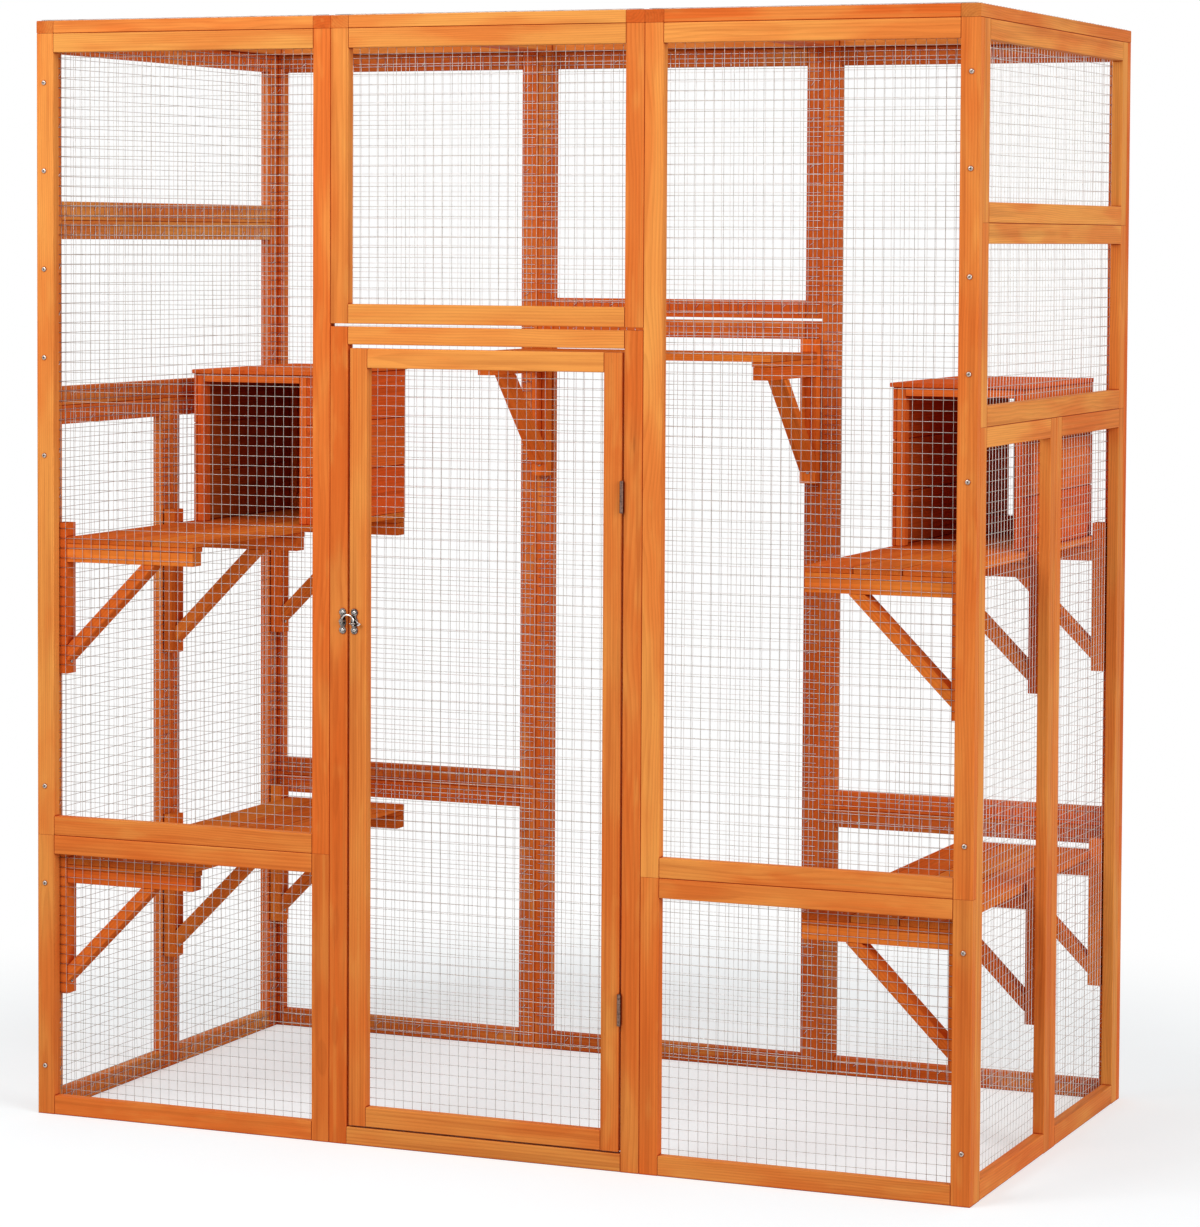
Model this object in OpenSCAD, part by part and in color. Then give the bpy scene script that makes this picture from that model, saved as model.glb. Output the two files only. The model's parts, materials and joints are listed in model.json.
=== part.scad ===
// Outdoor cat enclosure: three timber bays with welded wire infill, a hinged door,
// five plank platforms on braced brackets and two small timber houses.
// +X is the right side, +Y the back and +Z up; the origin is the middle of the footprint.

/* [Enclosure] */
// Width of one of the three bays
bay_w = 600; // [520:5:800]
// Depth over the front and back walls
depth = 950; // [900:5:1200]
// Height of the walls under the roof frames
wall_h = 1994; // [1900:1:2200]
// Height of the short lower panels in the outer bays
low_h = 520; // [400:5:620]
// Height of the door frame and of the tall panel behind it
door_frame_h = 1466; // [1450:1:1600]
// Open line over the door frame
over_gap = 5; // [1:0.5:12]
// Height of the tall lower panels in the side walls
side_low_h = 1311; // [1290:1:1400]
// Height of the middle panel in the side walls
side_mid_h = 342; // [250:1:360]

/* [Timber] */
// Thickness of the wall timber
frame_t = 21; // [18:0.5:26]
// Width of the upright stiles
stile_w = 35; // [30:0.5:45]
// Width of the rails between the stiles
rail_w = 35; // [30:0.5:45]
// Rail width of the door frame
door_rail_w = 32; // [28:0.5:40]
// Thickness of the roof timber
roof_t = 23; // [18:0.5:30]
// Width of the roof timber
roof_w = 35; // [30:0.5:45]
// Eased edge along each timber
ease = 1.5; // [0.5:0.1:3]
// Hairline between a rail end and its stile
butt_gap = 0.2; // [0.1:0.05:0.4]

/* [Door] */
// Width of the door leaf timber
leaf_w = 34; // [28:0.5:40]
// Gap beside the door leaf
door_gap = 4; // [3.5:0.1:6]
// Gap over the door leaf
door_gap_top = 6.5; // [3:0.5:10]
// Gap under the door leaf
door_gap_low = 3; // [2:0.5:6]
// Height of a hinge
hinge_h = 52; // [40:1:70]
// Height of the lower hinge's middle
hinge_low_z = 285; // [150:5:400]
// Height of the upper hinge's middle
hinge_top_z = 1178; // [900:5:1300]
// Radius of a hinge barrel
barrel_r = 3.5; // [3:0.1:4.5]
// Radius of a hinge pin
hinge_pin_r = 1.6; // [1.2:0.1:1.9]
// Thickness of a hinge leaf
hinge_t = 1.3; // [1:0.1:1.5]
// Running clearance round the pins and between the knuckles
run_gap = 0.25; // [0.15:0.05:0.4]

/* [Latch] */
// Height of the latch pivot
latch_z = 941; // [800:1:1050]
// Distance from the hook's pivot to its tip
hook_span = 23; // [22:0.5:28]
// Radius of the hook rod
rod_r = 1.8; // [1.4:0.1:2.2]
// Length of the hook's tip below the pivot line
tip_l = 9; // [7:0.5:12]
// Height of a latch plate
plate_h = 45; // [36:1:54]
// Width of a latch plate
plate_w = 13; // [12.5:0.5:18]
// Thickness of a latch plate
plate_t = 1.6; // [1:0.1:2.5]
// Radius of the hook's pivot pin
hook_pin_r = 2; // [1.6:0.1:2.4]
// Radius of the wire in the keeper staple
staple_r = 1.2; // [1:0.1:1.6]
// Clearance between the hook rod and the plates behind it
hook_gap = 1.6; // [1:0.1:2.5]
// Clearance between the hook rod and the staple's bar
bar_gap = 1.2; // [0.8:0.1:2]
// Clearance between the hook rod and the staple's legs
leg_gap = 2.3; // [2.1:0.1:3]
// Drop of the staple below the pivot line
staple_drop = 3.5; // [2.5:0.1:4.5]
// Metal of the keeper plate outside the staple's legs
staple_rim = 0.5; // [0.3:0.1:1.2]
// Height of the hook's eye over its rod on each side
eye_over = 0.2; // [0.1:0.05:0.3]
// Wall of metal round the eye
eye_wall = 2.4; // [1.8:0.1:3]
// Thickness of the thumb tab
tab_t = 2; // [1.2:0.1:2.4]
// Length of the thumb tab
tab_l = 8; // [5:0.5:12]
// Distance from the hinge side face to the latch plate's edge
plate_in = 4; // [3:0.5:8]

/* [Wire mesh] */
// Pitch of the drawn wires, three cells of the welded mesh
mesh_pitch = 54; // [45:1:120]
// Thickness of a mesh wire
wire_d = 1.2; // [0.8:0.1:2]
// Distance of the mesh from the edges of its panel
mesh_in = 5; // [3:0.5:8]

/* [Platforms] */
// Width of a deck
deck_w = 263; // [240:1:300]
// Thickness of the deck boards
board_t = 12; // [9:0.5:18]
// Gap between two deck boards
board_gap = 1.5; // [0.5:0.1:4]
// Thickness of the battens under the boards
batten_t = 9; // [6:0.5:14]
// Width of the battens under the boards
batten_w = 38; // [33:1:60]
// Overhang of the boards past the battens and arms
deck_lip = 1; // [0.5:0.5:15]
// Height of the low platforms' cleats above the ground
low_cleat_z = 222; // [150:1:235]
// Height of the middle platforms' cleats above the ground
mid_cleat_z = 817; // [760:1:850]
// Distance of the back platform's cleats under the top of the tall back panel
top_cleat_drop = 34; // [20:1:90]

/* [Brackets] */
// Width of the bracket timber
bracket_w = 33; // [25:1:34]
// Thickness of the bracket timber
bracket_t = 25; // [20:0.5:30]
// Height of a cleat
cleat_h = 279; // [270:1:300]
// Height of the arm's underside above the cleat's foot
arm_z = 207; // [195:1:210]
// Leg of the diagonal brace
brace_leg = 187; // [150:1:189]
// Clipped lower corner at the free end of an arm
arm_clip = 7; // [2:0.5:12]
// Gap between the end mesh and the first bracket
bracket_in = 0.5; // [0.3:0.1:6]

/* [Houses] */
// Width of a house
house_w = 252; // [220:1:255]
// Depth of a house
house_d = 430; // [300:5:435]
// Height of a house under its roof board
house_h = 288; // [240:1:300]
// Thickness of the house boards
house_board = 7; // [5:0.5:10]
// Width of the corner posts seen from the front
post_w = 16; // [10:0.5:20]
// Depth of the corner posts
post_d = 25; // [15:0.5:30]
// Height of the rail over the doorway
door_head = 16; // [10:0.5:30]
// Height of the two rails inside the back
back_rail = 33; // [20:0.5:45]
// Seam between two house boards
seam = 0.6; // [0.3:0.1:1.5]
// Distance of the back slit from the open side of the house
slit_x = 83; // [50:1:110]
// Width of the slit between the back boards
slit_w = 9.5; // [3:0.5:14]
// Thickness of the house roof board
lid_t = 8; // [6:0.5:14]
// Overhang of the house roof at the doorway and the open side
lid_lip = 5; // [1:0.5:8]
// Overhang of the house roof at the wall side
lid_rear = 2; // [0.5:0.5:6]

/* [Screws] */
// Distance of a panel screw from the end of its panel
screw_end = 90; // [60:1:120]
// Distance of a panel screw from the outer edge
screw_in = 15.5; // [10:0.5:17]
// Radius of a screw head
head_r = 4.5; // [3:0.1:6]
// Height of a screw head
head_h = 2.2; // [1.5:0.1:3]

/* [Hidden] */
timber = "#dc7a2b";
timber_deep = "#c9611f";
wire_grey = "#9aa0a3";
zinc = "#b9bdc0";

// Hook plane and keeper staple, measured out from the front face
hook_y = plate_t + hook_gap + rod_r;
staple_y = hook_y + rod_r + bar_gap + staple_r;
staple_in = rod_r + leg_gap;
eye_r = hook_pin_r + run_gap + eye_wall;
eye_t = 2 * (rod_r + eye_over);
rivet_t = 1.6;
latch_reach = max(staple_y + staple_r, hook_y + eye_t / 2 + run_gap + rivet_t);

// Overall places
full_w = 3 * bay_w;
half_w = full_w / 2;
front_y = latch_reach - (depth + latch_reach + head_h) / 2;
back_y = front_y + depth;
in_front = front_y + frame_t;
in_back = back_y - frame_t;
in_depth = in_back - in_front;
centre_top_z = door_frame_h + over_gap;
side_top_z = side_low_h + side_mid_h;
side_half = in_depth / 2;

// Mesh
wire_gap = 0.2;
net_t = 2 * wire_d + wire_gap;
corner_in = frame_t + 1;

// Door
leaf_x0 = -bay_w / 2 + stile_w + door_gap;
leaf_x1 = bay_w / 2 - stile_w - door_gap;
leaf_z0 = door_rail_w + door_gap_low;
leaf_z1 = door_frame_h - door_rail_w - door_gap_top;
knuckle_h = (hinge_h - 2 * run_gap) / 3;
pin_cap = 1.5;
hinge_x = leaf_x1 + door_gap / 2;
hinge_y = front_y - barrel_r - run_gap;
latch_x = leaf_x0 - door_gap - plate_in / 2 - plate_w / 2;
keeper_x = latch_x + hook_span;

// Platforms
cleat_x = frame_t + net_t;
deck_x = cleat_x + bracket_t + butt_gap;
arm_l = deck_w - deck_lip;
deck_rise = arm_z + bracket_t + 2 * butt_gap + batten_t;
deck_end = net_t + bracket_in;
deck_len = in_depth - 2 * deck_end;
bracket_last = in_depth - deck_end - bracket_w;
left_mid_at = side_half - stile_w / 2 - bracket_w / 2;
right_mid_at = side_half + stile_w / 2 - bracket_w / 2;
left_at = [deck_end, left_mid_at, bracket_last];
right_at = [deck_end, right_mid_at, bracket_last];
back_at = [0.5, bay_w - stile_w];
top_cleat_z = door_frame_h - top_cleat_drop - cleat_h;
house_x = deck_x + deck_w - house_w;
house_y = in_back - deck_end - house_d;

// Timber along +Z, w wide along X and t thick along Y, with eased long edges
module upright(w, t, l) {
    linear_extrude(l)
        polygon([[ease, 0], [w - ease, 0], [w, ease], [w, t - ease],
            [w - ease, t], [ease, t], [0, t - ease], [0, ease]]);
}

// The same timber along +X, w wide along Z
module level(w, t, l) {
    translate([0, 0, w])
        rotate([0, 90, 0])
            upright(w, t, l);
}

// Panel in the XZ plane: two full stiles with butted rails between them
module panel(w, h, t, sw, rail) {
    upright(sw, t, h);
    translate([w - sw, 0, 0])
        upright(sw, t, h);
    for (z = [0, h - rail])
        translate([sw + butt_gap, 0, z])
            level(rail, t, w - 2 * sw - 2 * butt_gap);
}

// Welded mesh in the XZ plane: uprights on the timber, level wires on the uprights
module net(w, h) {
    nx = max(2, round(w / mesh_pitch));
    nz = max(2, round(h / mesh_pitch));
    for (i = [0:nx])
        translate([i * (w - wire_d) / nx, 0, 0])
            cube([wire_d, wire_d, h]);
    for (i = [0:nz])
        translate([0, wire_d + wire_gap, i * (h - wire_d) / nz])
            cube([w, wire_d, wire_d]);
}

// Mesh over a panel, on its timber; left and right are its distances from the panel's ends
module panel_net(w, h, left = mesh_in, right = mesh_in) {
    translate([left, 0, mesh_in])
        net(w - left - right, h - 2 * mesh_in);
}

// Bay number 0 to 2 of the front wall
module front_bay(i, z) {
    translate([-half_w + i * bay_w, front_y, z])
        children();
}

// The same bay of the back wall, its mesh side facing in
module back_bay(i, z) {
    translate([-half_w + i * bay_w, back_y, z])
        mirror([0, 1, 0])
            children();
}

// A side wall, drawn with its length along X and turned to run front to back
module left_wall(y, z) {
    translate([-half_w, in_front + y, z])
        mirror([1, 0, 0])
            rotate([0, 0, 90])
                children();
}

module right_wall(y, z) {
    mirror([1, 0, 0])
        left_wall(y, z)
            children();
}

// A roof bay, lying on the walls
module roof_bay(i, z) {
    translate([-half_w + i * bay_w, front_y, z])
        rotate([-90, 0, 0])
            children();
}

module wall_panel(w, h) {
    color(timber)
        panel(w, h, frame_t, stile_w, rail_w);
}

module roof_panel(i) {
    color(timber)
        roof_bay(i, wall_h + roof_t)
            panel(bay_w, depth, roof_t, roof_w, roof_w);
}

module front_left_tall() {
    front_bay(0, low_h)
        wall_panel(bay_w, wall_h - low_h);
}

module front_left_low() {
    front_bay(0, 0)
        wall_panel(bay_w, low_h);
}

module front_centre_top() {
    front_bay(1, centre_top_z)
        wall_panel(bay_w, wall_h - centre_top_z);
}

module door_frame() {
    color(timber)
        front_bay(1, 0)
            panel(bay_w, door_frame_h, frame_t, stile_w, door_rail_w);
}

module front_right_tall() {
    front_bay(2, low_h)
        wall_panel(bay_w, wall_h - low_h);
}

module front_right_low() {
    front_bay(2, 0)
        wall_panel(bay_w, low_h);
}

module back_left_tall() {
    back_bay(0, low_h)
        wall_panel(bay_w, wall_h - low_h);
}

module back_left_low() {
    back_bay(0, 0)
        wall_panel(bay_w, low_h);
}

module back_centre_top() {
    back_bay(1, centre_top_z)
        wall_panel(bay_w, wall_h - centre_top_z);
}

module back_centre_tall() {
    back_bay(1, 0)
        wall_panel(bay_w, door_frame_h);
}

module back_right_tall() {
    back_bay(2, low_h)
        wall_panel(bay_w, wall_h - low_h);
}

module back_right_low() {
    back_bay(2, 0)
        wall_panel(bay_w, low_h);
}

module left_top() {
    left_wall(0, side_top_z)
        wall_panel(in_depth, wall_h - side_top_z);
}

module left_middle() {
    left_wall(0, side_low_h)
        wall_panel(in_depth, side_mid_h);
}

module left_front_tall() {
    left_wall(0, 0)
        wall_panel(side_half, side_low_h);
}

module left_back_tall() {
    left_wall(side_half, 0)
        wall_panel(side_half, side_low_h);
}

module right_top() {
    right_wall(0, side_top_z)
        wall_panel(in_depth, wall_h - side_top_z);
}

module right_middle() {
    right_wall(0, side_low_h)
        wall_panel(in_depth, side_mid_h);
}

module right_front_tall() {
    right_wall(0, 0)
        wall_panel(side_half, side_low_h);
}

module right_back_tall() {
    right_wall(side_half, 0)
        wall_panel(side_half, side_low_h);
}

module roof_left() {
    roof_panel(0);
}

module roof_centre() {
    roof_panel(1);
}

module roof_right() {
    roof_panel(2);
}

// Door leaf, hinged at its right side
module door_leaf() {
    color(timber)
        translate([leaf_x0, front_y, leaf_z0])
            panel(leaf_x1 - leaf_x0, leaf_z1 - leaf_z0, frame_t, leaf_w, rail_w);
}

// Mesh of an outer bay, the tall panel over the short one, clear of the side wall's timber
module bay_nets(i) {
    left = i == 0 ? corner_in : mesh_in;
    right = i == 2 ? corner_in : mesh_in;
    translate([0, frame_t, 0]) {
        panel_net(bay_w, low_h, left, right);
        translate([0, 0, low_h])
            panel_net(bay_w, wall_h - low_h, left, right);
    }
}

module centre_top_net() {
    translate([0, frame_t, centre_top_z])
        panel_net(bay_w, wall_h - centre_top_z);
}

module net_front_left() {
    color(wire_grey)
        front_bay(0, 0)
            bay_nets(0);
}

module net_front_centre() {
    color(wire_grey)
        front_bay(1, 0)
            centre_top_net();
}

module net_front_right() {
    color(wire_grey)
        front_bay(2, 0)
            bay_nets(2);
}

module net_door() {
    color(wire_grey)
        translate([leaf_x0, front_y + frame_t, leaf_z0])
            panel_net(leaf_x1 - leaf_x0, leaf_z1 - leaf_z0);
}

module net_back() {
    color(wire_grey) {
        for (i = [0, 2])
            back_bay(i, 0)
                bay_nets(i);
        back_bay(1, 0)
            centre_top_net();
        back_bay(1, 0)
            translate([0, frame_t, 0])
                panel_net(bay_w, door_frame_h);
    }
}

// Mesh of a side wall: two shallow panels over two tall ones
module side_nets() {
    translate([0, frame_t, side_top_z])
        panel_net(in_depth, wall_h - side_top_z);
    translate([0, frame_t, side_low_h])
        panel_net(in_depth, side_mid_h);
    for (x = [0, side_half])
        translate([x, frame_t, 0])
            panel_net(side_half, side_low_h);
}

module net_left() {
    color(wire_grey)
        left_wall(0, 0)
            side_nets();
}

module net_right() {
    color(wire_grey)
        right_wall(0, 0)
            side_nets();
}

// Mesh of the roof, laid on top of its frames
module net_roof() {
    color(wire_grey)
        for (i = [0:2])
            translate([-half_w + i * bay_w, back_y, wall_h + roof_t])
                rotate([90, 0, 0])
                    panel_net(bay_w, depth);
}

// Deck of boards along Y on level battens; X runs from the wall to the free edge
module deck(l, at) {
    n = 3;
    w = (deck_w - (n - 1) * board_gap) / n;
    translate([0, 0, batten_t + butt_gap])
        for (i = [0:n - 1])
            translate([i * (w + board_gap), 0, 0])
                cube([w, l, board_t]);
    for (y = at)
        translate([0, min(max(y + bracket_w / 2 - batten_w / 2, 0), l - batten_w), 0])
            cube([arm_l, batten_w, batten_t]);
}

// Bracket: cleat on the wall, arm under the deck and a mitred brace
module bracket() {
    root = bracket_t + butt_gap;
    diag = bracket_t * sqrt(2);
    translate([0, bracket_w, 0])
        rotate([90, 0, 0])
            linear_extrude(bracket_w) {
                square([bracket_t, cleat_h]);
                translate([root, arm_z])
                    polygon([[0, 0], [arm_l - arm_clip, 0], [arm_l, arm_clip],
                        [arm_l, bracket_t], [0, bracket_t]]);
                translate([root, arm_z - butt_gap])
                    polygon([[0, -brace_leg], [brace_leg, 0],
                        [brace_leg - diag, 0], [0, diag - brace_leg]]);
            }
}

// Side platforms, drawn on the left wall; the right ones are mirrored
module side_brackets(z, at) {
    color(timber_deep)
        for (y = at)
            translate([-half_w + cleat_x, in_front + y, z])
                bracket();
}

module side_deck(z, at) {
    shift = [for (y = at) y - deck_end];
    color(timber_deep)
        translate([-half_w + deck_x, in_front + deck_end, z + arm_z + bracket_t + butt_gap])
            deck(deck_len, shift);
}

module deck_left_mid() {
    side_deck(mid_cleat_z, left_at);
}

module deck_left_low() {
    side_deck(low_cleat_z, left_at);
}

module deck_right_mid() {
    mirror([1, 0, 0])
        side_deck(mid_cleat_z, right_at);
}

module deck_right_low() {
    mirror([1, 0, 0])
        side_deck(low_cleat_z, right_at);
}

module brackets_left_mid() {
    side_brackets(mid_cleat_z, left_at);
}

module brackets_left_low() {
    side_brackets(low_cleat_z, left_at);
}

module brackets_right_mid() {
    mirror([1, 0, 0])
        side_brackets(mid_cleat_z, right_at);
}

module brackets_right_low() {
    mirror([1, 0, 0])
        side_brackets(low_cleat_z, right_at);
}

// Back platform, turned so that its wall side is the back wall's centre bay
module on_back_wall(off, z) {
    translate([-bay_w / 2, back_y - off, z])
        rotate([0, 0, -90])
            children();
}

module deck_back() {
    color(timber_deep)
        on_back_wall(deck_x, top_cleat_z + arm_z + bracket_t + butt_gap)
            deck(bay_w, back_at);
}

module brackets_back() {
    color(timber_deep)
        on_back_wall(cleat_x, top_cleat_z)
            for (y = back_at)
                translate([0, y, 0])
                    bracket();
}

// House on the back half of a middle deck, drawn on the left side
module at_house() {
    translate([-half_w + house_x, house_y, mid_cleat_z + deck_rise + board_t])
        children();
}

module house_posts() {
    inner = house_w - 2 * house_board;
    back_at_y = house_d - house_board - butt_gap - post_d;
    clear_w = inner - 2 * post_w - 2 * butt_gap;
    color(timber)
        translate([house_board, 0, 0]) {
            for (x = [0, inner - post_w], y = [0, back_at_y])
                translate([x, y, 0])
                    cube([post_w, post_d, house_h]);
            translate([post_w + butt_gap, 0, house_h - door_head])
                cube([clear_w, post_d, door_head]);
            for (z = [0, house_h - back_rail])
                translate([post_w + butt_gap, back_at_y, z])
                    cube([clear_w, post_d, back_rail]);
        }
}

module house_sides() {
    n = 3;
    h = (house_h - (n - 1) * seam) / n;
    color(timber)
        for (x = [0, house_w - house_board], i = [0:n - 1])
            translate([x, 0, i * (h + seam)])
                cube([house_board, house_d, h]);
}

module house_back() {
    clear_w = house_w - 2 * house_board - 2 * butt_gap;
    near = clear_w - slit_x - slit_w;
    color(timber_deep)
        translate([house_board + butt_gap, house_d - house_board, 0]) {
            cube([near, house_board, house_h]);
            translate([near + slit_w, 0, 0])
                cube([slit_x, house_board, house_h]);
        }
}

module house_roof() {
    color(timber)
        translate([-lid_rear, -lid_lip, house_h])
            cube([house_w + lid_rear + lid_lip, house_d + lid_lip + bracket_in, lid_t]);
}

module house_left_posts() {
    at_house()
        house_posts();
}

module house_left_sides() {
    at_house()
        house_sides();
}

module house_left_back() {
    at_house()
        house_back();
}

module house_left_roof() {
    at_house()
        house_roof();
}

module house_right_posts() {
    mirror([1, 0, 0])
        house_left_posts();
}

module house_right_sides() {
    mirror([1, 0, 0])
        house_left_sides();
}

module house_right_back() {
    mirror([1, 0, 0])
        house_left_back();
}

module house_right_roof() {
    mirror([1, 0, 0])
        house_left_roof();
}

// Hinges: knuckles 0 and 2 belong to the jamb leaf, knuckle 1 to the door leaf
module knuckle(i, side) {
    z = i * (knuckle_h + run_gap);
    translate([0, 0, z])
        difference() {
            union() {
                cylinder(r = barrel_r, h = knuckle_h, $fn = 32);
                translate([side > 0 ? door_gap / 2 - hinge_t : -door_gap / 2, 0, 0])
                    cube([hinge_t, barrel_r + run_gap + 1, knuckle_h]);
            }
            translate([0, 0, -1])
                cylinder(r = hinge_pin_r + run_gap, h = knuckle_h + 2, $fn = 32);
        }
}

module hinge_half(side) {
    knuckles = side > 0 ? [0, 2] : [1];
    for (i = knuckles)
        knuckle(i, side);
    translate([side > 0 ? door_gap / 2 - hinge_t : -door_gap / 2, barrel_r + run_gap, 0])
        cube([hinge_t, frame_t - 2, hinge_h]);
}

module at_hinges() {
    for (z = [hinge_low_z, hinge_top_z])
        translate([hinge_x, hinge_y, z - hinge_h / 2])
            children();
}

module hinge_jamb() {
    color(zinc)
        at_hinges()
            hinge_half(1);
}

module hinge_door() {
    color(zinc)
        at_hinges()
            hinge_half(-1);
}

module hinge_pins() {
    color(zinc)
        at_hinges() {
            translate([0, 0, -pin_cap])
                cylinder(r = hinge_pin_r, h = hinge_h + 2 * pin_cap, $fn = 24);
            for (z = [-pin_cap - run_gap, hinge_h + run_gap])
                translate([0, 0, z])
                    cylinder(r = barrel_r, h = pin_cap, $fn = 24);
        }
}

// Latch, drawn from the pivot with -Y toward the viewer
module at_latch(x) {
    translate([x, front_y, latch_z])
        children();
}

// Plate drawn flat: a lobe for the screw at each end, and a long one behind the pivot or the staple
module lobed_plate(mid_r = plate_w / 2) {
    lobe_z = (plate_h - plate_w) / 2;
    linear_extrude(plate_t)
        union() {
            for (z = [-lobe_z, lobe_z])
                translate([0, z])
                    circle(r = plate_w / 2, $fn = 48);
            for (z = [-staple_drop, 0])
                translate([0, z])
                    circle(r = mid_r, $fn = 48);
            translate([-mid_r, -staple_drop])
                square([2 * mid_r, staple_drop]);
            square([0.6 * plate_w, 2 * lobe_z], center = true);
        }
}

module latch_plate() {
    color(zinc)
        at_latch(latch_x)
            rotate([90, 0, 0]) {
                cylinder(r = hook_pin_r, h = hook_y + eye_t / 2 + run_gap + rivet_t, $fn = 24);
                cylinder(r = eye_r, h = hook_y - eye_t / 2 - run_gap, $fn = 24);
                translate([0, 0, hook_y + eye_t / 2 + run_gap])
                    cylinder(r = eye_r - 0.6, h = rivet_t, $fn = 24);
                lobed_plate();
            }
}

// Hook: an eye on the pivot, a half ring over the gap and a round-ended tip
module latch_hook() {
    arc = hook_span / 2;
    color(zinc)
        at_latch(latch_x)
            translate([0, -hook_y, 0])
                difference() {
                    union() {
                        rotate([90, 0, 0])
                            cylinder(r = eye_r, h = eye_t, center = true, $fn = 32);
                        translate([arc, 0, 0])
                            rotate([90, 0, 0])
                                rotate_extrude(angle = 180, $fn = 48)
                                    translate([arc, 0])
                                        circle(r = rod_r, $fn = 16);
                        translate([hook_span, 0, 0])
                            hook_tip();
                        thumb_tab();
                    }
                    rotate([90, 0, 0])
                        cylinder(r = hook_pin_r + run_gap, h = 3 * eye_t, center = true, $fn = 32);
                }
}

module hook_tip() {
    rotate([180, 0, 0])
        rotate_extrude($fn = 16) {
            square([rod_r, tip_l - rod_r]);
            translate([0, tip_l - rod_r])
                intersection() {
                    circle(r = rod_r, $fn = 16);
                    square(rod_r);
                }
        }
}

// Pressed thumb tab on the hook's shoulder, clear of the staple
module thumb_tab() {
    x = hook_span + staple_in + 2 * staple_r + bar_gap / 2;
    rotate([90, 0, 0])
        linear_extrude(tab_t, center = true)
            difference() {
                polygon([[hook_span - rod_r / 2, 3 * rod_r], [x + tab_l, -tab_l / 2],
                    [x + tab_l / 4, -tab_l], [x, 0]]);
                translate([x + tab_l / 3, -0.45 * tab_l])
                    circle(r = tab_l / 5, $fn = 24);
            }
}

module latch_keeper() {
    leg = staple_in + staple_r;
    color(zinc)
        at_latch(keeper_x) {
            rotate([90, 0, 0])
                lobed_plate(leg + staple_r + staple_rim);
            translate([0, 0, -staple_drop]) {
                for (s = [-1, 1])
                    translate([s * leg, 0, 0]) {
                        rotate([90, 0, 0])
                            cylinder(r = staple_r, h = staple_y, $fn = 16);
                        translate([0, -staple_y, 0])
                            sphere(r = staple_r, $fn = 16);
                    }
                translate([-leg, -staple_y, 0])
                    rotate([0, 90, 0])
                        cylinder(r = staple_r, h = 2 * leg, $fn = 16);
            }
        }
}

// Screws that hold the front and back walls to the side walls
module panel_screws() {
    zs = [screw_end, low_h - screw_end, low_h + screw_end, side_low_h - screw_end,
        side_low_h + screw_end, side_top_z - screw_end, side_top_z + screw_end,
        wall_h - screw_end];
    color(zinc)
        for (s = [-1, 1], z = zs) {
            translate([s * (half_w - screw_in), front_y, z])
                rotate([90, 0, 0])
                    cylinder(r = head_r, h = head_h, $fn = 8);
            translate([s * (half_w - screw_in), back_y + head_h, z])
                rotate([90, 0, 0])
                    cylinder(r = head_r, h = head_h, $fn = 8);
        }
}

front_left_tall();
front_left_low();
front_centre_top();
door_frame();
front_right_tall();
front_right_low();
back_left_tall();
back_left_low();
back_centre_top();
back_centre_tall();
back_right_tall();
back_right_low();
left_top();
left_middle();
left_front_tall();
left_back_tall();
right_top();
right_middle();
right_front_tall();
right_back_tall();
roof_left();
roof_centre();
roof_right();
door_leaf();
net_front_left();
net_front_centre();
net_front_right();
net_door();
net_back();
net_left();
net_right();
net_roof();
deck_left_mid();
deck_left_low();
deck_right_mid();
deck_right_low();
deck_back();
brackets_left_mid();
brackets_left_low();
brackets_right_mid();
brackets_right_low();
brackets_back();
house_left_posts();
house_left_sides();
house_left_back();
house_left_roof();
house_right_posts();
house_right_sides();
house_right_back();
house_right_roof();
hinge_jamb();
hinge_door();
hinge_pins();
latch_plate();
latch_hook();
latch_keeper();
panel_screws();
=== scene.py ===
"""Looks of the outdoor cat enclosure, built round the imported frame. Lengths are in metres."""

import json
import math
import random

import bmesh
import bpy
import numpy as np
from mathutils import Matrix, Vector


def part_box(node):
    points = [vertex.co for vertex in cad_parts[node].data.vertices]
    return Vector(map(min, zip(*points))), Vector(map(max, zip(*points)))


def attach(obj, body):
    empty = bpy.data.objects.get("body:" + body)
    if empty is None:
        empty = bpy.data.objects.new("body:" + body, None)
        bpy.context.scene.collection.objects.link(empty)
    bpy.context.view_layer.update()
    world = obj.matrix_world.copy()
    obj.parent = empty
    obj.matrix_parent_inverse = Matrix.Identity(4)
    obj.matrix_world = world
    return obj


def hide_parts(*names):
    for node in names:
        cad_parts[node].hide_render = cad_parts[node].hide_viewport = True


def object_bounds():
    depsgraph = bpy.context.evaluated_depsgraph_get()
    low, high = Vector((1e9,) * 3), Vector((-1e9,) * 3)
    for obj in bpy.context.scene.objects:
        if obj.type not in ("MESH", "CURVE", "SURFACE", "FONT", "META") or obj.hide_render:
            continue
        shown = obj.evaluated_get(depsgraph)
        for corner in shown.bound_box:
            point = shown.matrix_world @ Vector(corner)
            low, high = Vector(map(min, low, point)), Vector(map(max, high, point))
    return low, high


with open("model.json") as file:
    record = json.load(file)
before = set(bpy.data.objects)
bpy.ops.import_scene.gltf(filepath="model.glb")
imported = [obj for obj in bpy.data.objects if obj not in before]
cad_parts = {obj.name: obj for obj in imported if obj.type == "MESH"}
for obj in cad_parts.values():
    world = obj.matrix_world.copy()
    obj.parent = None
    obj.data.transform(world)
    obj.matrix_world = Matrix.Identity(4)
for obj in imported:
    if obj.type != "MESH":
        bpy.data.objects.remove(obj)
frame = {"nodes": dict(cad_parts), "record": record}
cad_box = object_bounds()
MM = 0.001

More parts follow.
